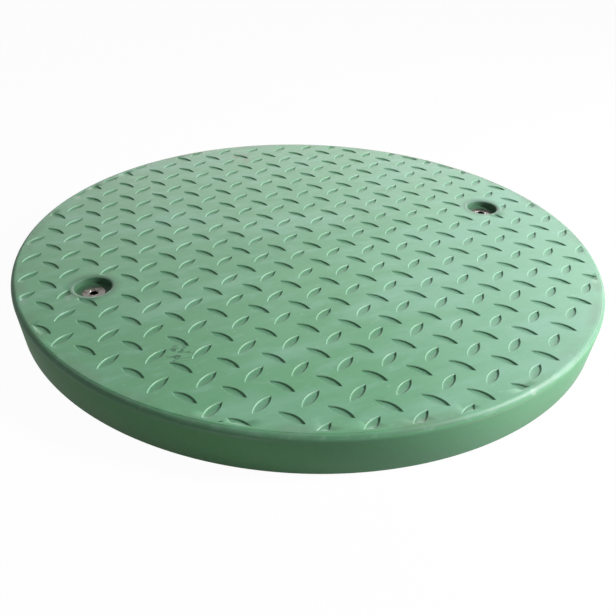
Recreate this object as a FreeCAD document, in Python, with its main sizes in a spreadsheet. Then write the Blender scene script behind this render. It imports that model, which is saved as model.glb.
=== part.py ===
import FreeCAD, Part
import os
import Sketcher
from FreeCAD import Vector

# Round moulded inspection cover: a deck with a sunk lens tread, a tapered rim that seats in a
# frame, stiffening ribs under the deck and two flat-headed screws in round pockets.
# Millimetres, +Z up, origin on the seat plane at the middle, +X along the line of the screws.

DIMENSIONS = {
    # The moulding's outer form
    "cover_diameter": 658,
    "seat_diameter": 650,
    "rim_height": 45,
    "edge_radius": 6,
    # Walls under the deck
    "deck_thickness": 9,
    "rim_width": 13,
    "rib_height": 20,
    "rib_thickness": 6,
    "rib_rows": 9,
    "rib_root": 1.5,
    # The tread: two crossed sets of lens-shaped hollows on a square grid
    "tread_diameter": 644,
    "tread_pitch": 41.3,
    "tread_rows": 17,
    "tread_angle": -13.8,
    "tread_shift_along": 0.3,
    "tread_shift_across": -6.9,
    "lens_length": 27,
    "lens_width": 8.8,
    "lens_flat": 10,
    "lens_depth": 2,
    # Pockets and bosses of the two screws
    "screw_circle": 501,
    "pocket_diameter": 38,
    "pocket_depth": 7.5,
    "pocket_lip_width": 3.5,
    "pocket_lip_depth": 1.5,
    "boss_diameter": 56,
    # Flat-headed socket screws
    "screw_diameter": 12,
    "screw_length": 33,
    "head_diameter": 24,
    "head_edge": 0.6,
    "tip_chamfer": 1.2,
    "socket_across_flats": 8,
    "socket_depth": 6,
    # Clearances
    "hole_clearance": 2.5,
    "head_clearance": 0.2,
}

# Lengths worked out from the sheet, as formulas for the sketches
COVER_RADIUS = "(dims.cover_diameter / 2)"
SEAT_RADIUS = "(dims.seat_diameter / 2)"
RIM_INNER_RADIUS = f"({SEAT_RADIUS} - dims.rim_width)"
UNDER_DECK = "(dims.rim_height - dims.deck_thickness)"
SCREW_X = "(dims.screw_circle / 2)"
POCKET_FLOOR = "(dims.rim_height - dims.pocket_depth)"
RIB_STEPS = 4
RIB_PITCH = f"({SCREW_X} / {RIB_STEPS})"
EDGE_STEPS = 3


def make_sheet(doc):
    """The driving dimensions, one named cell each."""
    sheet = doc.addObject("Spreadsheet::Sheet", "dims")
    for row, (name, number) in enumerate(DIMENSIONS.items(), start=1):
        sheet.set(f"A{row}", name)
        sheet.set(f"B{row}", str(number))
        sheet.setAlias(f"B{row}", name)
    doc.recompute()
    return sheet


class Drawing:
    """A sketch on one of a body's origin planes whose points are tied to formulas of the sheet."""

    def __init__(self, body, name, plane, placement=None):
        self.sheet = body.Document.getObject("dims")
        self.sketch = body.newObject("Sketcher::SketchObject", name)
        planes = [item for item in body.Origin.OriginFeatures if item.Role == plane]
        self.sketch.AttachmentSupport = [(planes[0], "")]
        self.sketch.MapMode = "FlatFace"
        for part, formula in (placement or {}).items():
            self.sketch.setExpression(f"AttachmentOffset.{part}", formula)

    def value(self, formula):
        return float(self.sheet.evalExpression(formula))

    def tie(self, kind, *where, formula):
        """Adds a driving constraint that follows a formula."""
        number = self.sketch.addConstraint(Sketcher.Constraint(kind, *where, self.value(formula)))
        self.sketch.setExpression(f"Constraints[{number}]", formula)

    def place(self, curve, end, point):
        """Ties one end of a curve to a point given as two formulas; "0" lies on an axis."""
        for kind, axis, formula in (("DistanceX", -2, point[0]), ("DistanceY", -1, point[1])):
            if formula == "0":
                self.sketch.addConstraint(Sketcher.Constraint("PointOnObject", curve, end, axis))
            else:
                self.tie(kind, -1, 1, curve, end, formula=formula)

    def outline(self, points):
        """A closed outline of straight sides through the points."""
        spots = [Vector(self.value(x), self.value(y), 0) for x, y in points]
        count = len(spots)
        first = self.sketch.GeometryCount
        for side in range(count):
            self.sketch.addGeometry(Part.LineSegment(spots[side], spots[(side + 1) % count]))
        for side in range(count):
            following = first + (side + 1) % count
            self.sketch.addConstraint(Sketcher.Constraint("Coincident", first + side, 2, following, 1))
            self.place(first + side, 1, points[side])

    def circle(self, centre, radius):
        """A circle about a point, both given as formulas."""
        spot = Vector(self.value(centre[0]), self.value(centre[1]), 0)
        curve = self.sketch.addGeometry(Part.Circle(spot, Vector(0, 0, 1), self.value(radius)))
        self.place(curve, 3, centre)
        self.tie("Radius", curve, formula=radius)

    def upright_axis(self, x):
        """A construction line parallel to the upright axis, for turning a profile about."""
        low = Vector(self.value(x), 0, 0)
        curve = self.sketch.addGeometry(Part.LineSegment(low, low + Vector(0, 1, 0)), True)
        self.place(curve, 1, (x, "0"))
        self.sketch.addConstraint(Sketcher.Constraint("Vertical", curve))
        self.sketch.addConstraint(Sketcher.Constraint("DistanceY", curve, 1, curve, 2, 1))


def turned(body, drawing, axis="V_Axis"):
    """A solid of revolution about an axis of its drawing."""
    solid = body.newObject("PartDesign::Revolution", drawing.sketch.Name + "_turned")
    solid.Profile = drawing.sketch
    solid.ReferenceAxis = (drawing.sketch, [axis])
    solid.Angle = 360
    body.Document.recompute()
    return solid


def padded(body, drawing, length):
    """A straight pad along the drawing's normal."""
    pad = body.newObject("PartDesign::Pad", drawing.sketch.Name + "_pad")
    pad.Profile = drawing.sketch
    pad.setExpression("Length", length)
    body.Document.recompute()
    return pad


def both_sides(body, features, drawing):
    """Repeats features on the other screw, half a turn about the cover's axis."""
    pair = body.newObject("PartDesign::PolarPattern", body.Name + "_pair")
    pair.Originals = features
    pair.Axis = (drawing.sketch, ["V_Axis"])
    pair.Angle = 360
    pair.Occurrences = 2
    body.Tip = pair
    body.Document.recompute()
    return pair


def boolean(doc, kind, name, base, tool):
    """A cut or a common part of two solids."""
    result = doc.addObject(kind, name)
    result.Base = base
    result.Tool = tool
    return result


def edge_points():
    """The deck's rounded edge, from its top to its side, as short chords of a quarter circle."""
    points = []
    for step in range(EDGE_STEPS + 1):
        angle = f"{90 * step / EDGE_STEPS} deg"
        inward = f"dims.edge_radius * (1 - sin({angle}))"
        down = f"dims.edge_radius * (1 - cos({angle}))"
        points.append((f"{COVER_RADIUS} - {inward}", f"dims.rim_height - {down}"))
    return points


def make_shell(doc):
    """Deck and tapered rim in one turned profile."""
    body = doc.addObject("PartDesign::Body", "shell")
    drawing = Drawing(body, "shell_profile", "XZ_Plane")
    corners = [
        ("0", "dims.rim_height"),
        *edge_points(),
        (SEAT_RADIUS, "0"),
        (RIM_INNER_RADIUS, "0"),
        (RIM_INNER_RADIUS, UNDER_DECK),
        ("0", UNDER_DECK),
    ]
    drawing.outline(corners)
    turned(body, drawing)
    return body


def lens_points(x, y, slope):
    """Six corners of a lens about (x, y), lying at 45 degrees; each side is three chords."""
    half_length = "dims.lens_length / 2"
    half_flat = "dims.lens_flat / 2"
    half_width = "dims.lens_width / 2"
    corners = [
        (half_length, "0"), (half_flat, half_width), (f"-{half_flat}", half_width),
        (f"-{half_length}", "0"), (f"-{half_flat}", f"-{half_width}"), (half_flat, f"-{half_width}")]
    return [(f"{x} + ({along} - ({across})) * sqrt(0.5)",
             f"{y} + {slope} * ({along} + {across}) * sqrt(0.5)") for along, across in corners]


def patterned(body, drawing, length, axes, spacing, rows):
    """A pad repeated along one or both axes of its drawing."""
    pad = padded(body, drawing, length)
    field = body.newObject("PartDesign::LinearPattern", drawing.sketch.Name + "_field")
    field.Originals = [pad]
    for direction, axis in zip(("", "2"), axes):
        setattr(field, "Direction" + direction, (drawing.sketch, [axis]))
        setattr(field, "Mode" + direction, "Spacing")
        field.setExpression("Offset" + direction, spacing)
        field.setExpression("Occurrences" + direction, rows)
    body.Tip = field
    body.Document.recompute()
    return field


def cylinder(doc, name, radius, height):
    """An upright cylinder about the cover's axis."""
    solid = doc.addObject("Part::Cylinder", name)
    solid.setExpression("Radius", radius)
    solid.setExpression("Height", height)
    return solid


def make_lenses(doc):
    """A prism for every hollow of the tread, in two crossed sets on a square grid."""
    body = doc.addObject("PartDesign::Body", "lens_prisms")
    floor = "dims.rim_height - dims.lens_depth"
    placement = {"Rotation.Angle": "dims.tread_angle", "Base.z": floor}
    lenses = Drawing(body, "lens_pair", "XY_Plane", placement)
    first_row = "(-(dims.tread_rows - 1) / 2 * dims.tread_pitch)"
    x = f"{first_row} + dims.tread_shift_along"
    y = f"{first_row} + dims.tread_shift_across"
    half_step = "dims.tread_pitch / 2"
    lenses.outline(lens_points(x, y, -1))
    lenses.outline(lens_points(f"{x} + {half_step}", f"{y} + {half_step}", 1))
    both = ("H_Axis", "V_Axis")
    patterned(body, lenses, "2 * dims.lens_depth", both, "dims.tread_pitch", "dims.tread_rows")
    return body


RIB_LIFT = {"Base.z": "dims.rib_height"}
RIB_DEPTH = f"{UNDER_DECK} + dims.rib_root - dims.rib_height"


def make_ribs(doc):
    """Parallel ribs along the line of the screws, rooted in the deck and longer than the rim is wide."""
    half = "dims.rib_thickness / 2"
    first_row = f"(-(dims.rib_rows - 1) / 2 * {RIB_PITCH})"
    near, far = f"{first_row} - {half}", f"{first_row} + {half}"
    end = COVER_RADIUS
    body = doc.addObject("PartDesign::Body", "rib_bars")
    drawing = Drawing(body, "rib_bar", "XY_Plane", RIB_LIFT)
    drawing.outline([(f"-{end}", near), (end, near), (end, far), (f"-{end}", far)])
    patterned(body, drawing, RIB_DEPTH, ("V_Axis",), RIB_PITCH, "dims.rib_rows")
    return body


def make_bosses(doc):
    """A round boss under each screw pocket."""
    body = doc.addObject("PartDesign::Body", "screw_bosses")
    circles = Drawing(body, "boss_circles", "XY_Plane", RIB_LIFT)
    for x in (SCREW_X, f"-{SCREW_X}"):
        circles.circle((x, "0"), "dims.boss_diameter / 2")
    padded(body, circles, RIB_DEPTH)
    return body


def make_pockets(doc):
    """What is taken out at each screw: dished lip, round pocket, countersink and clear hole."""
    body = doc.addObject("PartDesign::Body", "pocket_tool")
    drawing = Drawing(body, "pocket_profile", "XZ_Plane")
    pocket = f"{SCREW_X} + dims.pocket_diameter / 2"
    hole_radius = "(dims.screw_diameter + dims.hole_clearance) / 2"
    sink_radius = "(dims.head_diameter / 2 + dims.head_clearance)"
    sink_depth = f"(dims.head_edge + {sink_radius} - {hole_radius})"
    lip_foot = "dims.rim_height - dims.pocket_lip_depth"
    lip_edge = f"{pocket} + dims.pocket_lip_width"
    clear_top = "dims.rim_height + dims.pocket_depth"
    corners = [
        (SCREW_X, "0"),
        (f"{SCREW_X} + {hole_radius}", "0"),
        (f"{SCREW_X} + {hole_radius}", f"{POCKET_FLOOR} - {sink_depth}"),
        (f"{SCREW_X} + {sink_radius}", f"{POCKET_FLOOR} - dims.head_edge"),
        (f"{SCREW_X} + {sink_radius}", POCKET_FLOOR),
        (pocket, POCKET_FLOOR),
        (pocket, lip_foot),
        (lip_edge, "dims.rim_height"),
        (lip_edge, clear_top),
        (SCREW_X, clear_top),
    ]
    drawing.outline(corners)
    drawing.upright_axis(SCREW_X)
    cut = turned(body, drawing, "Axis0")
    both_sides(body, [cut], drawing)
    return body


def make_screws(doc):
    """Two flat-headed screws with hexagon sockets, heads level with the pocket floors."""
    body = doc.addObject("PartDesign::Body", "lock_screws")
    drawing = Drawing(body, "screw_profile", "XZ_Plane")
    shank = "dims.screw_diameter / 2"
    head = "dims.head_diameter / 2"
    under_head = f"{POCKET_FLOOR} - dims.head_edge - ({head} - {shank})"
    tip = f"{POCKET_FLOOR} - dims.screw_length"
    corners = [
        (SCREW_X, tip),
        (f"{SCREW_X} + {shank} - dims.tip_chamfer", tip),
        (f"{SCREW_X} + {shank}", f"{tip} + dims.tip_chamfer"),
        (f"{SCREW_X} + {shank}", under_head),
        (f"{SCREW_X} + {head}", f"{POCKET_FLOOR} - dims.head_edge"),
        (f"{SCREW_X} + {head}", POCKET_FLOOR),
        (SCREW_X, POCKET_FLOOR),
    ]
    drawing.outline(corners)
    drawing.upright_axis(SCREW_X)
    blank = turned(body, drawing, "Axis0")
    socket = Drawing(body, "socket", "XY_Plane", {"Base.z": POCKET_FLOOR})
    half_flat = "dims.socket_across_flats / 2"
    corner = "dims.socket_across_flats / sqrt(3)"
    hexagon = [
        (f"{SCREW_X} + {corner}", "0"), (f"{SCREW_X} + {corner} / 2", half_flat),
        (f"{SCREW_X} - {corner} / 2", half_flat), (f"{SCREW_X} - {corner}", "0"),
        (f"{SCREW_X} - {corner} / 2", f"-{half_flat}"), (f"{SCREW_X} + {corner} / 2", f"-{half_flat}")]
    socket.outline(hexagon)
    hole = body.newObject("PartDesign::Pocket", "socket_hole")
    hole.Profile = socket.sketch
    hole.setExpression("Length", "dims.socket_depth")
    doc.recompute()
    both_sides(body, [blank, hole], drawing)
    return body


def check(doc, nodes):
    """Stops if any object failed or any solid is missing or unsound."""
    failed = [item.Name for item in doc.Objects if {"Invalid", "Error"} & set(item.State)]
    if failed:
        raise RuntimeError(f"failed objects: {failed}")
    for node in nodes:
        if node.Shape.isNull() or not node.Shape.isValid() or not node.Shape.Solids:
            raise RuntimeError(f"unsound shape: {node.Label}")


def main():
    doc = FreeCAD.newDocument("inspection_cover")
    make_sheet(doc)
    shell = make_shell(doc)
    bars = make_ribs(doc)
    bosses = make_bosses(doc)
    pockets = make_pockets(doc)
    screws = make_screws(doc)
    lenses = make_lenses(doc)
    rim = cylinder(doc, "rib_limit", f"{RIM_INNER_RADIUS} + dims.rib_root", "dims.rim_height")
    border = cylinder(doc, "tread_border", "dims.tread_diameter / 2", "2 * dims.rim_height")
    ribs = boolean(doc, "Part::Common", "ribs", bars, rim)
    moulding = doc.addObject("Part::MultiFuse", "moulding")
    moulding.Shapes = [shell, ribs, bosses]
    drilled = boolean(doc, "Part::Cut", "drilled", moulding, pockets)
    hollows = boolean(doc, "Part::Common", "tread_hollows", lenses, border)
    nodes = [boolean(doc, "Part::Cut", "cover", drilled, hollows), screws]
    doc.recompute()
    check(doc, nodes)
    os.makedirs("parts", exist_ok=True)
    for node in nodes:
        node.Shape.exportStep(os.path.join("parts", node.Label + ".step"))
        print(node.Label, len(node.Shape.Solids), "solids", round(node.Shape.Volume), "mm3")


main()
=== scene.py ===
# %% [markdown]
# # A moulded inspection cover, step by step
# The cover is a round green plastic lid that drops into a frame in the ground. Its deck carries a
# tread of sunk lenses, its edge is rounded, its wall narrows downwards, and two socket screws sit
# in round pockets. Everything is in metres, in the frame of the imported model: +Z is up, the origin
# is on the seat plane, and +X runs along the line of the two screws.

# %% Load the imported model
import math
import bmesh
import bpy
import numpy as np
from mathutils import Matrix


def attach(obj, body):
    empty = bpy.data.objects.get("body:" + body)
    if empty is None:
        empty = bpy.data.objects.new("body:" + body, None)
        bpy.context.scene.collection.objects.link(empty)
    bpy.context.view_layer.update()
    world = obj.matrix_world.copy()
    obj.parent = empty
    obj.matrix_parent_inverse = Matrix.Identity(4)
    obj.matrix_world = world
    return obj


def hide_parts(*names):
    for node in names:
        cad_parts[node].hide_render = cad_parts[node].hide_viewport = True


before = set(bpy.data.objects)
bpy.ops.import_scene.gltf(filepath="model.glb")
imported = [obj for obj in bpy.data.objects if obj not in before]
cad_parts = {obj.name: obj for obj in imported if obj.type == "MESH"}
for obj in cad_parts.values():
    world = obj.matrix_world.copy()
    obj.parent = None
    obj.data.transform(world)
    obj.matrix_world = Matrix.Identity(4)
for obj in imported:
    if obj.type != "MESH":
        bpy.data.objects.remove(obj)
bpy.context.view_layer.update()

# %% [markdown]
# ## Sizes
# These are the sizes of the solids, written once in metres; only the lenses' floors are half a
# millimetre higher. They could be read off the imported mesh, but named values keep each formula
# readable and let the pieces meet exactly.

# %% The cover's sizes
COVER_R, SEAT_R, RIM_H, EDGE_R = 0.329, 0.325, 0.045, 0.006
DECK_UNDER, RIM_INNER_R, RIB_LOW, RIB_HALF = 0.036, 0.312, 0.020, 0.003
TREAD_R, PITCH, TREAD_TURN = 0.322, 0.0413, math.radians(-13.8)
TREAD_SHIFT = np.array([0.0003, -0.0069])
LENS_HALF_LENGTH, LENS_HALF_WIDTH, LENS_DEPTH = 0.0135, 0.0044, 0.0015
SCREW_X, POCKET_R, POCKET_DEPTH = 0.2505, 0.019, 0.0075
LIP_R, LIP_DEPTH, BOSS_R = 0.0225, 0.0015, 0.028
HEAD_R, HEAD_EDGE, SHANK_R, HOLE_R, SINK_R = 0.012, 0.0006, 0.006, 0.00725, 0.0122
SOCKET_HALF, SOCKET_DEPTH, SCREW_LENGTH = 0.004, 0.006, 0.033
FLOOR_Z = RIM_H - POCKET_DEPTH
print("deck thickness", RIM_H - DECK_UNDER, "pocket floor at", FLOOR_Z)

# %% [markdown]
# ## From arrays to a mesh
# Each shape below ends as an array of points, an array of quads and an array of triangles. One
# helper joins such triples, and another makes the mesh, welds points that coincide, such as a
# turned surface's seam and its poles, and shades it smooth up to an angle, so that moulded edges
# stay crisp without extra loops of faces.

# %% Joining arrays and making a piece
NO_TRIANGLES = np.zeros((0, 3), dtype=int)
WELD, SLIVER = 5e-6, 1e-6


def joined(*shapes):
    """Several (points, quads, triangles) as one, with each shape's face numbers moved along."""
    starts = np.cumsum([0] + [len(points) for points, _, _ in shapes])
    return (np.concatenate([points for points, _, _ in shapes]),
            np.concatenate([quads + start for (_, quads, _), start in zip(shapes, starts)]),
            np.concatenate([tips + start for (_, _, tips), start in zip(shapes, starts)]))


def new_piece(name, shape, crease):
    """A mesh object from arrays: unused points are dropped, and points that nearly meet are welded."""
    points, quads, triangles = shape
    corners = np.concatenate([quads.ravel(), triangles.ravel()])
    used, places = np.unique(corners, return_inverse=True)
    quads, triangles = places[:quads.size].reshape(-1, 4), places[quads.size:].reshape(-1, 3)
    mesh = bpy.data.meshes.new(name)
    mesh.from_pydata(points[used].tolist(), [], quads.tolist() + triangles.tolist())
    work = bmesh.new()
    work.from_mesh(mesh)
    bmesh.ops.remove_doubles(work, verts=work.verts, dist=WELD)
    bmesh.ops.dissolve_degenerate(work, edges=work.edges, dist=SLIVER)
    work.to_mesh(mesh)
    work.free()
    mesh.shade_smooth()
    mesh.set_sharp_from_angle(angle=math.radians(crease))
    piece = bpy.data.objects.new(name, mesh)
    bpy.context.collection.objects.link(piece)
    mesh.calc_loop_triangles()
    print(name, len(mesh.vertices), "points", len(mesh.loop_triangles), "triangles")
    return piece


# %% [markdown]
# ## Turned surfaces
# The rim, the pockets and the screws are all turned: a profile of (radius, height) pairs goes once
# round an upright axis. Blender's Spin or Screw would do it too, but as arrays the direction of the
# faces is known: a profile that runs out along a top, down a wall and back in along a bottom has
# its faces outwards.

# %% A profile turned about an upright axis
ROUND_STEPS, POCKET_STEPS, SCREW_STEPS = 288, 64, 48


def turned(profile, steps, centre=(0.0, 0.0), shaped=None):
    """Point (i, j): x and y are radius i times the cosine and sine of angle j, z is height i."""
    profile = np.asarray(profile, dtype=float)
    angle = np.arange(steps) * (2 * math.pi / steps)
    radius = np.repeat(profile[:, :1], steps, axis=1)
    if shaped is not None:
        radius = shaped(radius, angle)
    height = np.repeat(profile[:, 1:], steps, axis=1)
    x, y = centre[0] + radius * np.cos(angle), centre[1] + radius * np.sin(angle)
    row, column = np.meshgrid(np.arange(len(profile) - 1), np.arange(steps), indexing="ij")
    here, after = row * steps + column, row * steps + (column + 1) % steps
    quads = np.stack([here, here + steps, after + steps, after], axis=2).reshape(-1, 4)
    return np.stack([x, y, height], axis=2).reshape(-1, 3), quads, NO_TRIANGLES


# %% [markdown]
# ## One tile of the tread
# Every lens hollow sits in a square tile whose side is the pitch divided by the root of two, and
# the tiles cover the deck like a chessboard, turned a quarter from one to the next. Cutting
# hundreds of lenses with Boolean modifiers would be slow and leave poor faces, so one tile is worked
# out instead: rings of points run from the square border to the lens, over its softened edge, down
# a drafted wall and onto the flat floor. A lens outline is two arcs that meet at its tips, and
# moving it outwards only makes their radius larger.

# %% The rings of a tile: how far outside the lens each one lies, and how deep
RING = 16
LENS_RINGS = ((0.0003, 0.0), (-0.0001, 0.00035),
              (-0.0005, LENS_DEPTH - 0.0001), (-0.0009, LENS_DEPTH))


def lens_outline(offset):
    """Two arcs of radius (l*l + w*w) / (2*w) plus the offset, which meet at the tips on the long axis."""
    radius = (LENS_HALF_LENGTH ** 2 + LENS_HALF_WIDTH ** 2) / (2 * LENS_HALF_WIDTH)
    drop = radius - LENS_HALF_WIDTH
    reach = math.acos(drop / (radius + offset))
    angle = np.linspace(reach, -reach, RING // 2, endpoint=False)
    upper = np.stack([np.sin(angle), np.cos(angle)], axis=1) * (radius + offset) - (0.0, drop)
    return np.concatenate([upper, -upper])


def tile_border(half):
    """A square walked from the middle of its right side: both coordinates are clipped triangle waves."""
    walk = np.arange(RING) * (8 * half / RING)
    waves = np.stack([walk, walk - 2 * half], axis=1)
    return np.clip(np.abs(np.mod(waves, 8 * half) - 4 * half) - 2 * half, -half, half)


# %% One whole tile
def tread_tile():
    """Rings from the border down to the lens floor, then the floor's strips and its two end triangles."""
    rings = [(tile_border(PITCH / math.sqrt(8)), 0.0)]
    rings += [(lens_outline(offset), deep) for offset, deep in LENS_RINGS]
    points = np.concatenate([np.column_stack([ring, np.full(RING, -deep)]) for ring, deep in rings])
    row, column = np.meshgrid(np.arange(len(rings) - 1), np.arange(RING), indexing="ij")
    here, after = row * RING + column, row * RING + (column + 1) % RING
    walls = np.stack([here, after, after + RING, here + RING], axis=2).reshape(-1, 4)
    last, k = len(points) - RING, np.arange(1, RING // 2 - 1)
    strips = last + np.stack([k, k + 1, RING - k - 1, RING - k], axis=1)
    tips = last + np.array([(0, 1, RING - 1), (RING // 2 - 1, RING // 2, RING // 2 + 1)])
    return points, np.concatenate([walls, strips]), tips


print("faces of a tile", sum(len(faces) for faces in tread_tile()[1:]))

# %% [markdown]
# ## The tread field
# The tile is repeated by adding arrays: its centres lie on two square grids, half a pitch apart,
# and each grid has its own turn. Where a tile runs past the tread's round border its points slide
# in to that circle, and its lens runs out in the last three millimetres before it, so that no open
# edge is left. The same is done round each screw pocket. Tiles of which only a lens tip would be
# left stay flat, and faces that fell wholly outside are dropped.

# %% Distances and turns on the deck
TILES_OUT, RUN_OUT = 9, 0.003
SHELL_OVERLAP = 0.0005
TREAD_HOLE_R, SUNK_R = LIP_R + SHELL_OVERLAP, TREAD_R + 0.001


def rotated(points, angle):
    """Points turned about the upright axis: x cos a - y sin a and x sin a + y cos a."""
    x, y = points[..., 0], points[..., 1]
    return np.stack([x * math.cos(angle) - y * math.sin(angle),
                     x * math.sin(angle) + y * math.cos(angle)], axis=-1)


def from_middle(points):
    """The root of x squared plus y squared."""
    return np.hypot(points[..., 0], points[..., 1])


def from_screw(points):
    """Distance to the nearer screw's axis, the same root with the screw's place taken from |x|."""
    return np.hypot(np.abs(points[..., 0]) - SCREW_X, points[..., 1])


# %% Round borders
def slid_to_circle(points, centre, radius, outside):
    """Moves points beyond the circle, or those within it, straight to it; returns which were moved."""
    away = points[:, :2] - centre
    gap = np.maximum(from_middle(away), 1e-9)
    moved = gap > radius if outside else gap < radius
    points[moved, :2] = centre + away[moved] * (radius / gap[moved])[:, None]
    return moved


def kept_faces(faces, moved):
    """The faces with at least one point that was not moved."""
    return faces[~moved[faces].all(axis=1)]


def without_screws(shape, radius):
    """The shape with a round opening about each screw's axis."""
    points, quads, triangles = shape
    for side in (-SCREW_X, SCREW_X):
        moved = slid_to_circle(points, (side, 0.0), radius, False)
        quads, triangles = kept_faces(quads, moved), kept_faces(triangles, moved)
    return points, quads, triangles


# %% Tiles over the deck
def tile_points(tile):
    """Each tile is the centre's place plus the turned tile, all turned with the tread."""
    steps = np.arange(-TILES_OUT, TILES_OUT + 1) * PITCH
    grid = np.stack(np.meshgrid(steps, steps, indexing="ij"), axis=-1).reshape(-1, 2)
    blocks = []
    for offset, turn in ((0.0, -math.pi / 4), (PITCH / 2, math.pi / 4)):
        centre = grid + TREAD_SHIFT + offset
        centre = centre[from_middle(centre) < TREAD_R + PITCH / 2]
        flat = rotated(centre[:, None] + rotated(tile[:, :2], turn)[None], TREAD_TURN)
        middle = rotated(centre, TREAD_TURN)
        sunk = (from_middle(middle) < SUNK_R) & (from_screw(middle) > LIP_R)
        height = RIM_H + tile[:, 2] * sunk[:, None]
        blocks.append(np.concatenate([flat, height[..., None]], axis=2))
    return np.concatenate(blocks)


def tread_field():
    """Every tile of both grids, with the border and the pockets trimmed to their circles."""
    tile, quads, tips = tread_tile()
    tiles = tile_points(tile)
    print("tread tiles", len(tiles))
    starts = np.arange(len(tiles))[:, None, None] * len(tile)
    points = tiles.reshape(-1, 3)
    quads, tips = (quads + starts).reshape(-1, 4), (tips + starts).reshape(-1, 3)
    room = np.minimum(TREAD_R - from_middle(points), from_screw(points) - TREAD_HOLE_R)
    points[:, 2] = RIM_H + (points[:, 2] - RIM_H) * np.clip(room / RUN_OUT, 0.0, 1.0)
    moved = slid_to_circle(points, (0.0, 0.0), TREAD_R, True)
    return without_screws((points, kept_faces(quads, moved), kept_faces(tips, moved)), TREAD_HOLE_R)


# %% [markdown]
# ## Rim, wall and underside
# One profile makes the rest of the shell: a plain edge outside the tread with the faint line where
# the mould parts, the rounded corner, the wall that narrows to the seat, the foot, the inner wall
# and its fillet. It starts just under the edge of the tread field. The flat underside of the deck is
# a disc of rings.

# %% The shell's profile
BREAK, FILLET, HAIR = 0.0009, 0.003, 0.00003
PARTING_R = COVER_R - EDGE_R + 0.0013
HIDDEN_Z = RIM_H - LENS_DEPTH - 0.0002
UNDER_RINGS = 40


def rim_profile():
    """(radius, height): tread border, parting line, quarter circle, tapered wall, foot, inner wall."""
    turn = np.linspace(0, math.pi / 2, 10)
    corner = np.stack([COVER_R - EDGE_R + EDGE_R * np.sin(turn),
                       RIM_H - EDGE_R + EDGE_R * np.cos(turn)], axis=1)
    under_tread = TREAD_R - 0.0003
    border = [(under_tread, HIDDEN_Z), (under_tread, RIM_H - HAIR), (TREAD_R + 0.0002, RIM_H - HAIR / 3)]
    parting = [(PARTING_R, RIM_H - 0.00014), (PARTING_R + 0.0003, RIM_H - 0.0005),
               (PARTING_R + 0.0006, RIM_H - 0.0003)]
    foot = [(SEAT_R, BREAK), (SEAT_R - BREAK / 3, BREAK / 3), (SEAT_R - BREAK, 0.0)]
    inner = [(RIM_INNER_R + BREAK, 0.0), (RIM_INNER_R, BREAK), (RIM_INNER_R, DECK_UNDER - FILLET),
             (RIM_INNER_R - 0.3 * FILLET, DECK_UNDER - 0.3 * FILLET), (RIM_INNER_R - FILLET, DECK_UNDER)]
    return np.array(border + [tuple(corner[0])] + parting + corner[3:].tolist() + foot + inner)


def underside():
    """A flat disc of rings under the deck, from its outer radius to the middle, open at the bosses."""
    rings = np.linspace(RIM_INNER_R - FILLET, 0.0, UNDER_RINGS)
    disc = turned(np.column_stack([rings, np.full(UNDER_RINGS, DECK_UNDER)]), ROUND_STEPS)
    return without_screws(disc, BOSS_R - SHELL_OVERLAP)


print("points of the rim's profile", len(rim_profile()))

# %% [markdown]
# ## Pockets, bosses and ribs
# Each screw stands in a round pocket with a dished lip; below the deck a boss carries it. The whole
# lining is one more profile, turned about the screw's axis. Straight ribs stiffen the deck from
# below, as such covers usually have. Each is a box between the inner walls, and the middle one stops
# at the bosses.


# %% Pocket and boss
def pocket_profile():
    """(radius, height): boss and foot, clear hole, countersink, pocket floor and wall, dished lip."""
    turn = np.linspace(0, math.pi / 2, 6)
    dish = np.stack([LIP_R - (LIP_R - POCKET_R) * np.cos(turn),
                     RIM_H - LIP_DEPTH * (1 - np.sin(turn))], axis=1)
    boss = [(BOSS_R, DECK_UNDER + SHELL_OVERLAP), (BOSS_R, RIB_LOW + 0.001),
            (BOSS_R - 0.001, RIB_LOW), (HOLE_R, RIB_LOW)]
    sink_z = FLOOR_Z - HEAD_EDGE
    hole = [(HOLE_R, sink_z - SINK_R + HOLE_R), (SINK_R, sink_z),
            (SINK_R, FLOOR_Z - 0.0002), (SINK_R + 0.0003, FLOOR_Z)]
    wall = [(POCKET_R - 0.0012, FLOOR_Z), (POCKET_R - 0.0003, FLOOR_Z + 0.0003),
            (POCKET_R, FLOOR_Z + 0.0012)]
    close = [(LIP_R + BREAK, RIM_H - HAIR), (LIP_R + BREAK, HIDDEN_Z)]
    return np.array(boss + hole + wall + dish.tolist() + close)


# %% Ribs
RIBS_A_SIDE, BITE = 4, 0.001


def rib_bars():
    """A box a bar: x runs over a stretch of its row's chord, y is the row plus or minus half a rib."""
    rows = np.arange(-RIBS_A_SIDE, RIBS_A_SIDE + 1) * (SCREW_X / RIBS_A_SIDE)
    chord = np.sqrt((RIM_INNER_R + 1.5 * BITE) ** 2 - (np.abs(rows) + RIB_HALF) ** 2)
    bars = np.column_stack([rows, -chord, chord])[rows != 0.0]
    near, far, end = SCREW_X - BOSS_R + BITE, SCREW_X + BOSS_R - BITE, chord[RIBS_A_SIDE]
    bars = np.concatenate([bars, [(0.0, -end, -far), (0.0, -near, near), (0.0, far, end)]])
    ends = np.array([0, 1, 1, 0, 0, 1, 1, 0])
    sides = np.array([-1, -1, 1, 1, -1, -1, 1, 1])
    levels = np.repeat([RIB_LOW, DECK_UNDER + BITE], 4)
    x = np.where(ends > 0, bars[:, 2:], bars[:, 1:2])
    y = bars[:, :1] + sides * RIB_HALF
    z = np.broadcast_to(levels, x.shape)
    box = np.array([(0, 3, 2, 1), (4, 5, 6, 7), (0, 1, 5, 4), (1, 2, 6, 5), (2, 3, 7, 6), (3, 0, 4, 7)])
    quads = (box + np.arange(len(bars))[:, None, None] * 8).reshape(-1, 4)
    return np.stack([x, y, z], axis=2).reshape(-1, 3), quads, NO_TRIANGLES


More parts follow.
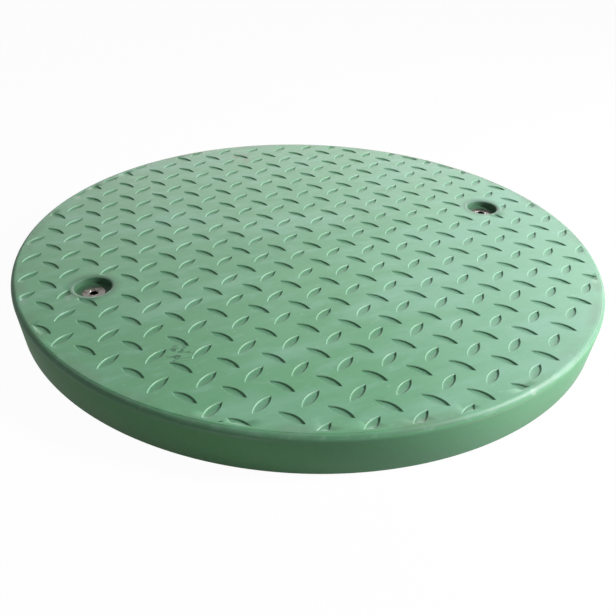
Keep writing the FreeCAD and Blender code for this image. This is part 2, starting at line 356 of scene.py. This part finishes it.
# %% The whole moulding as one piece
cover = new_piece("cover_moulding", joined(
    tread_field(), turned(rim_profile(), ROUND_STEPS), underside(), rib_bars(),
    turned(pocket_profile(), POCKET_STEPS, (SCREW_X, 0.0)),
    turned(pocket_profile(), POCKET_STEPS, (-SCREW_X, 0.0))), crease=38.0)
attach(cover, "root")
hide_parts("cover")

# %% [markdown]
# ## The two screws
# Each is a flat-headed socket screw, turned from bar. The turning function makes it too, except that
# near the socket the radius follows a hexagon: the distance to a flat is the half width over the
# cosine of the angle from that flat. Fine rings on the head are marks of the lathe, and the shank
# has the ridges of its thread.

# %% Turned screws with a hexagon socket
FACE_RINGS, RING_STEP, RING_DEPTH = 11, 0.0005, 0.00006
THREAD_STEPS, THREAD_PITCH, THREAD_DEPTH = 27, 0.00175, 0.0006
SOCKET_ROWS = slice(1, 3)


def screw_profile():
    """(radius, height): socket floor and wall, chamfer, head with fine rings, cone, threaded shank, tip."""
    socket_z, cone_z = FLOOR_Z - SOCKET_DEPTH, FLOOR_Z - HEAD_EDGE - (HEAD_R - SHANK_R)
    socket = [(0.0, socket_z), (SOCKET_HALF, socket_z + 0.0008), (SOCKET_HALF, FLOOR_Z - 0.0007),
              (0.0049, FLOOR_Z - 0.0001), (0.0053, FLOOR_Z)]
    rings = np.arange(FACE_RINGS)
    face = np.stack([0.0062 + rings * RING_STEP, FLOOR_Z - RING_DEPTH * (rings % 2)], axis=1)
    head = [(HEAD_R - 0.0003, FLOOR_Z), (HEAD_R, FLOOR_Z - 0.0003), (HEAD_R, FLOOR_Z - HEAD_EDGE),
            (SHANK_R, cone_z)]
    ridges = np.arange(THREAD_STEPS)
    thread = np.stack([SHANK_R - THREAD_DEPTH * (ridges % 2),
                       FLOOR_Z - 0.0085 - ridges * (THREAD_PITCH / 2)], axis=1)
    tip = [(SHANK_R - 2 * THREAD_DEPTH, FLOOR_Z - SCREW_LENGTH), (0.0, FLOOR_Z - SCREW_LENGTH)]
    return np.array(socket + face.tolist() + head + thread.tolist() + tip)


def hexagon_socket(radius, angle):
    """The socket's rows follow a hexagon with a corner at angle zero."""
    radius = radius.copy()
    radius[SOCKET_ROWS] = SOCKET_HALF / np.cos(np.mod(angle, math.pi / 3) - math.pi / 6)
    return radius


# %% Both screws as one piece
screws = new_piece("socket_screws", joined(
    turned(screw_profile(), SCREW_STEPS, (SCREW_X, 0.0), hexagon_socket),
    turned(screw_profile(), SCREW_STEPS, (-SCREW_X, 0.0), hexagon_socket)), crease=30.0)
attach(screws, "root")
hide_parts("lock_screws")

# %% [markdown]
# ## Writing finishes as sums
# A finish is easier to read as arithmetic than as a tangle of nodes. The class below wraps a socket:
# adding or multiplying two of them adds a Math node, and its one method makes any other node.


# %% Sockets with operators
class Socket:
    """An output of a node tree that can stand in a sum."""

    def __init__(self, tree, output=None):
        self.tree, self.output = tree, output

    def node(self, kind, settings=(), inputs=(), output=0):
        """A node of this tree: its settings are set first, then each input gets its value or link."""
        node = self.tree.nodes.new(kind)
        for key, setting in dict(settings).items():
            setattr(node, key, setting)
        for key, item in dict(inputs).items():
            if isinstance(item, Socket):
                self.tree.links.new(item.output, node.inputs[key])
            else:
                node.inputs[key].default_value = item
        return Socket(self.tree, node.outputs[output])

    def sum(self, operation, first, second):
        return self.node("ShaderNodeMath", {"operation": operation}, {0: first, 1: second})

    def __add__(self, other):
        return self.sum("ADD", self, other)

    def __radd__(self, other):
        return self.sum("ADD", other, self)

    def __sub__(self, other):
        return self.sum("SUBTRACT", self, other)

    def __rsub__(self, other):
        return self.sum("SUBTRACT", other, self)

    def __mul__(self, other):
        return self.sum("MULTIPLY", self, other)

    def __rmul__(self, other):
        return self.sum("MULTIPLY", other, self)


# %% Short names for the nodes that the finishes use
def new_finish(name):
    """A material, its shader and its Object coordinates."""
    material = bpy.data.materials.new(name)
    material.use_nodes = True
    tree = material.node_tree
    place = Socket(tree).node("ShaderNodeTexCoord", output="Object")
    return material, tree.nodes["Principled BSDF"], place


def noise(place, scale, detail=3.0, stretch=(1.0, 1.0, 1.0)):
    """Noise over Object coordinates, which may be stretched first."""
    wide = place.node("ShaderNodeMapping", {}, {"Vector": place, "Scale": stretch})
    return place.node("ShaderNodeTexNoise", {}, {"Vector": wide, "Scale": scale, "Detail": detail})


def vector_sum(operation, first, second, output="Value"):
    """A Vector Math node of a socket and a vector."""
    return first.node("ShaderNodeVectorMath", {"operation": operation}, {0: first, 1: second}, output)


def step(value, low, high):
    """0 up to low, 1 from high on, smooth between; low may be the larger one."""
    if low > high:
        return 1.0 - step(value, high, low)
    return value.node("ShaderNodeMapRange", {"interpolation_type": "SMOOTHSTEP"},
                      {"Value": value, "From Min": low, "From Max": high})


def tint(factor, first, second):
    """A colour mix; a colour is three numbers or a socket."""
    ends = [item if isinstance(item, Socket) else (*item, 1.0) for item in (first, second)]
    return factor.node("ShaderNodeMix", {"data_type": "RGBA"}, {0: factor, 6: ends[0], 7: ends[1]}, 2)


def link(shader, name, value):
    """Joins a socket to one of the shader's inputs."""
    value.tree.links.new(value.output, shader.inputs[name])


# %% [markdown]
# ## Green moulded plastic
# The real finish is a mid green with a satin skin. It is mottled and smeared, paler where the deck
# has been rubbed, with pale specks, a dark scribbled scuff on the deck's front left, dirt and brownish
# stains by the far rim and a nick on the right edge. Lens floors are darker. Light and shade are
# painted into the colour too: a pale painted sheen on the deck's right half, painted shade as a
# deeper green on the left of the wall, a mottled band of painted shade just inside the rim, nearly
# black painted shade in the pockets, and painted highlights on the lenses' top edges and just under
# the rounded edge. Image textures could hold such marks, but noise and distances in Object
# coordinates stay sharp at any size.

# %% Where on the cover a point is
plastic, skin, place = new_finish("green_moulded_plastic")
z = place.node("ShaderNodeSeparateXYZ", {}, {0: place}, 2)
level_place = vector_sum("MULTIPLY", place, (1.0, 1.0, 0.0), "Vector")
radius = vector_sum("DISTANCE", level_place, (0.0, 0.0, 0.0))
rightwards = vector_sum("DOT_PRODUCT", place, (0.887, -0.463, 0.0))
farwards = vector_sum("DOT_PRODUCT", place, (0.463, 0.887, 0.0))
deck = step(z, RIM_H - 0.0032, RIM_H - 0.0022)


def spot(centre, reach):
    """1 at a place on the cover, falling to 0 at that distance."""
    return step(vector_sum("DISTANCE", place, centre), reach, 0.35 * reach)


# %% Mottled and rubbed green, with a painted sheen and painted shade on the wall
MID_GREEN, FRESH_GREEN, DEEP_GREEN = (0.120, 0.318, 0.166), (0.140, 0.350, 0.190), (0.095, 0.275, 0.140)
SMEARED_GREEN, WIPED_GREEN = (0.215, 0.425, 0.310), (0.210, 0.415, 0.305)
PAINTED_SHEEN_GREEN, PAINTED_SHADE_WALL_GREEN = (0.190, 0.365, 0.290), (0.085, 0.335, 0.090)
cloud, smear = noise(place, 6.0, 5.0), noise(place, 14.0, 5.0, (0.5, 1.6, 1.0))
wiped = noise(place, 45.0, 5.0, (0.6, 1.5, 1.0))
# Painted shade: the left of the wall, away from the light, is tinted a deeper green.
left_wall_shade = step(rightwards, 0.15, -0.10) * step(z, 0.040, 0.034)
green = tint(step(cloud, 0.36, 0.66), MID_GREEN, FRESH_GREEN)
green = tint(step(smear, 0.46, 0.70) * deck * 0.5, green, SMEARED_GREEN)
green = tint(step(wiped, 0.52, 0.70) * deck * 0.4, green, WIPED_GREEN)
green = tint(step(wiped, 0.46, 0.32) * deck * 0.3, green, DEEP_GREEN)
# Painted sheen: the deck's right half is tinted paler and bluer, standing in for gloss.
green = tint(step(rightwards, 0.0, 0.30) * deck * 0.45, green, PAINTED_SHEEN_GREEN)
green = tint(left_wall_shade * 0.6, green, PAINTED_SHADE_WALL_GREEN)
print("nodes for the green", len(plastic.node_tree.nodes))

# %% Specks, dirt, marks and a band of painted shade inside the rim
SPECK, RIM_SHADE = (0.34, 0.49, 0.39), (0.125, 0.175, 0.110)
FAR_SOIL, BROWN = (0.150, 0.160, 0.105), (0.190, 0.170, 0.095)
SCRIBBLE, WORN_EDGE, BARE = (0.035, 0.115, 0.060), (0.30, 0.47, 0.36), (0.42, 0.52, 0.44)
specks = step(noise(place, 190.0, 2.0), 0.67, 0.76)
# Painted shade: a mottled darker band just inside the rim, where the deck meets the rounded edge.
rim_shade_band = step(radius, 0.309, 0.3215) * step(noise(place, 26.0, 4.0), 0.42, 0.66) * deck
far_dirt = step(radius, 0.3205, 0.3235) * step(farwards, 0.12, 0.26)
stain = spot((0.018, 0.281, RIM_H), 0.035) * step(noise(place, 60.0, 4.0), 0.42, 0.62)
lines = noise(place, 95.0, 1.0, (1.0, 2.0, 1.0))
scuff = spot((-0.2065, -0.148, RIM_H), 0.019) * step(lines, 0.46, 0.48) * step(lines, 0.56, 0.54)
edge = step(radius, 0.3252, 0.3268) * step(z, 0.0405, 0.0425) * step(noise(place, 90.0, 3.0), 0.50, 0.66)
nick = spot((0.0552, -0.3235, RIM_H - 0.001), 0.0045)
green = tint(specks * 0.2, green, SPECK)
green = tint(rim_shade_band * 0.36, green, RIM_SHADE)
green = tint(far_dirt * 0.45, green, FAR_SOIL)
green = tint(stain * 0.5, green, BROWN)
green = tint(scuff * 0.9, green, SCRIBBLE)
green = tint(edge * 0.4, green, WORN_EDGE)
green = tint(nick * 0.6, green, BARE)
print("nodes with the marks", len(plastic.node_tree.nodes))

# %% Darker lens floors, painted shade in the pockets and painted highlights on edges
HOLLOW_GREEN, LENS_EDGE_HIGHLIGHT = (0.095, 0.215, 0.135), (0.36, 0.47, 0.40)
POCKET_SHADE, EDGE_HIGHLIGHT_GREEN = (0.025, 0.060, 0.036), (0.30, 0.42, 0.31)
# The lens floors are tinted darker.
hollow = step(z, RIM_H - 0.0005, RIM_H - 0.0012) * deck
# Painted highlight: the top edges of the lens hollows are tinted pale.
lip = step(z, RIM_H - 0.00004, RIM_H - 0.00012) * step(z, RIM_H - 0.0007, RIM_H - 0.0004)
# Painted shade: the pockets and their dishes are tinted nearly black, strongest in the middle.
pocket_shade = spot((SCREW_X, 0.0, FLOOR_Z), 0.034) + spot((-SCREW_X, 0.0, FLOOR_Z), 0.034)
# Painted highlight: a pale mottled line on the wall just under the rounded edge.
under_edge_highlight = step(z, 0.0375, 0.0385) * step(z, 0.0408, 0.0395) * step(radius, 0.3265, 0.3280)
green = tint(hollow * 0.4, green, HOLLOW_GREEN)
green = tint(lip * step(radius, TREAD_R, TREAD_R - 0.002) * 0.4, green, LENS_EDGE_HIGHLIGHT)
green = tint(pocket_shade * 0.9, green, POCKET_SHADE)
green = tint(under_edge_highlight * step(cloud, 0.40, 0.60) * 0.35, green, EDGE_HIGHLIGHT_GREEN)
link(skin, "Base Color", green)
print("nodes of the whole colour", len(plastic.node_tree.nodes))

# %% Sheen and fine grain of the plastic
link(skin, "Roughness", 0.33 + 0.14 * cloud + 0.1 * smear)
skin.inputs["Specular IOR Level"].default_value = 0.32
grain = noise(place, 520.0, 2.0) + 0.8 * noise(place, 120.0, 2.0)
bump = place.node("ShaderNodeBump", {}, {"Strength": 0.16, "Distance": 0.0004, "Height": grain})
link(skin, "Normal", bump)
cover.data.materials.append(plastic)

# %% [markdown]
# ## Stainless steel
# The screws are turned steel, dulled outdoors and brownish in places, and darker in the socket.
# The darkening is chosen by height: points below the head's face are darker.

# %% The screws' finish
CLEAN_STEEL, BROWN_STEEL, BELOW_FACE_DARK = (0.42, 0.39, 0.36), (0.14, 0.10, 0.08), (0.06, 0.055, 0.05)
steel, bright, steel_place = new_finish("stainless_steel")
steel_z = steel_place.node("ShaderNodeSeparateXYZ", {}, {0: steel_place}, 2)
below_face = step(steel_z, FLOOR_Z - 0.0004, FLOOR_Z - 0.003)
dull = step(noise(steel_place, 260.0), 0.45, 0.70)
link(bright, "Base Color", tint(below_face, tint(dull, CLEAN_STEEL, BROWN_STEEL), BELOW_FACE_DARK))
link(bright, "Roughness", 0.18 + 0.2 * dull)
bright.inputs["Metallic"].default_value = 1.0
screws.data.materials.append(steel)
print("nodes of the steel", len(steel.node_tree.nodes))

# %% [markdown]
# ## Floor and surroundings
# The photograph has a plain white ground. The floor is a matt disc that catches the cover's shadow,
# and most of its white is only for the camera and for reflections, so that it doesn't light the
# object. The world does the same: white to look at, weak as a light.

# %% A pale floor
FLOOR_LOW, WHITE = -0.0003, (1.0, 1.0, 1.0, 1.0)
floor = new_piece("floor", turned([(0.0, FLOOR_LOW), (2.0, FLOOR_LOW), (40.0, FLOOR_LOW)], 96), crease=30.0)
pale, matt, floor_place = new_finish("pale_floor")
matt.inputs["Base Color"].default_value = (0.42, 0.42, 0.42, 1.0)
matt.inputs["Roughness"].default_value = 1.0
matt.inputs["Specular IOR Level"].default_value = 0.0
floor.data.materials.append(pale)


# %% What the camera and the shiny parts see
def only_seen(socket, shine):
    """1 for what the camera or glass looks at, a part of it for reflections, 0 for light that falls."""
    camera, glass, gloss = [socket.node("ShaderNodeLightPath", output="Is %s Ray" % kind)
                            for kind in ("Camera", "Transmission", "Glossy")]
    return socket.sum("MAXIMUM", socket.sum("MAXIMUM", camera, glass), gloss * shine)


# %% White for the floor
FLOOR_SHINE, FLOOR_WHITE = 0.4, 0.94
white = floor_place.node("ShaderNodeEmission", {}, {"Color": WHITE, "Strength": 1.03}, "Emission")
share = only_seen(floor_place, FLOOR_SHINE) * FLOOR_WHITE
blend = floor_place.node("ShaderNodeMixShader", {}, {0: share, 2: white}, "Shader")
pale.node_tree.links.new(matt.outputs["BSDF"], blend.output.node.inputs[1])
pale.node_tree.links.new(blend.output, pale.node_tree.nodes["Material Output"].inputs["Surface"])

# %% White for the world
SKY_SHINE, SKY_LIGHT = 0.45, 0.16
studio = bpy.data.worlds.new("studio")
bpy.context.scene.world = studio
studio.use_nodes = True
sky = studio.node_tree.nodes["Background"]
sky.inputs["Color"].default_value = WHITE
link(sky, "Strength", SKY_LIGHT + (1.0 - SKY_LIGHT) * only_seen(Socket(studio.node_tree), SKY_SHINE))
print("nodes of the world", len(studio.node_tree.nodes))

# %% [markdown]
# ## Camera
# The camera stands where the photograph was taken. Its place was worked out from the rows of the
# tread and the outline; a small roll is part of the hand-held view.


# %% Placing by axes
def unit(vector):
    """A vector over its own length."""
    return np.asarray(vector, dtype=float) / np.linalg.norm(vector)


def placed(thing, right, up, back, point):
    """Links an object and gives it a place from three axes and a point."""
    matrix = np.eye(4)
    matrix[:3] = np.column_stack([right, up, back, point])
    thing.matrix_world = Matrix(matrix.tolist())
    bpy.context.collection.objects.link(thing)
    return thing


# %% Camera at the photograph's angle
EYE = np.array([-0.34655, -0.66490, RIM_H + 0.39051])
AIM = np.array([-0.06527, -0.12633, RIM_H])
ROLL = math.radians(2.1235)
ahead = unit(AIM - EYE)
level = unit(np.cross(ahead, (0, 0, 1)))
upright = np.cross(level, ahead)
view = bpy.data.cameras.new("camera")
view.lens, view.sensor_width = 42.165, 36.0
bpy.context.scene.camera = placed(
    bpy.data.objects.new("camera", view), math.cos(ROLL) * level + math.sin(ROLL) * upright,
    math.cos(ROLL) * upright - math.sin(ROLL) * level, -ahead, EYE)
print("camera looks along", ahead.round(3))

# %% [markdown]
# ## Light
# The main light is at the camera's right, level with the cover's middle: part of each pocket's floor
# lies in shade, the left walls of some lenses shine and the front left wall is dark. A weak one low
# on the same side lifts the right wall, and two cards farther behind only show as gloss and give
# the deck its sheen.


# %% Lights placed from the camera's side
def soft_light(name, right, forward, height, size, watts):
    """An area light, placed by the camera's level right and forward directions, facing the cover."""
    where = right * level + forward * unit((ahead[0], ahead[1], 0.0)) + np.array((0.0, 0.0, height))
    back = unit(where - (0.0, 0.0, RIM_H))
    side = unit(np.cross((0, 0, 1), back))
    lamp = bpy.data.lights.new(name, "AREA")
    lamp.shape, lamp.energy = "RECTANGLE", watts
    lamp.size, lamp.size_y = size
    return placed(bpy.data.objects.new(name, lamp), side, np.cross(back, side), back, where)


# %% Main light, side light and the two gloss cards
soft_light("main_light", right=1.35, forward=-0.2, height=0.98, size=(0.4, 0.4), watts=39.0)
soft_light("side_light", right=1.5, forward=-0.1, height=0.28, size=(0.3, 0.3), watts=9.0)
sheen_card = soft_light("sheen_card", right=0.55, forward=2.7, height=0.75, size=(5.4, 0.8), watts=66.0)
right_card = soft_light("right_card", right=2.0, forward=1.8, height=1.7, size=(1.4, 1.0), watts=24.0)
sheen_card.visible_diffuse = right_card.visible_diffuse = False
print("lights", sorted(lamp.name for lamp in bpy.data.lights))

# %% The view transform
bpy.context.scene.view_settings.view_transform = "Standard"
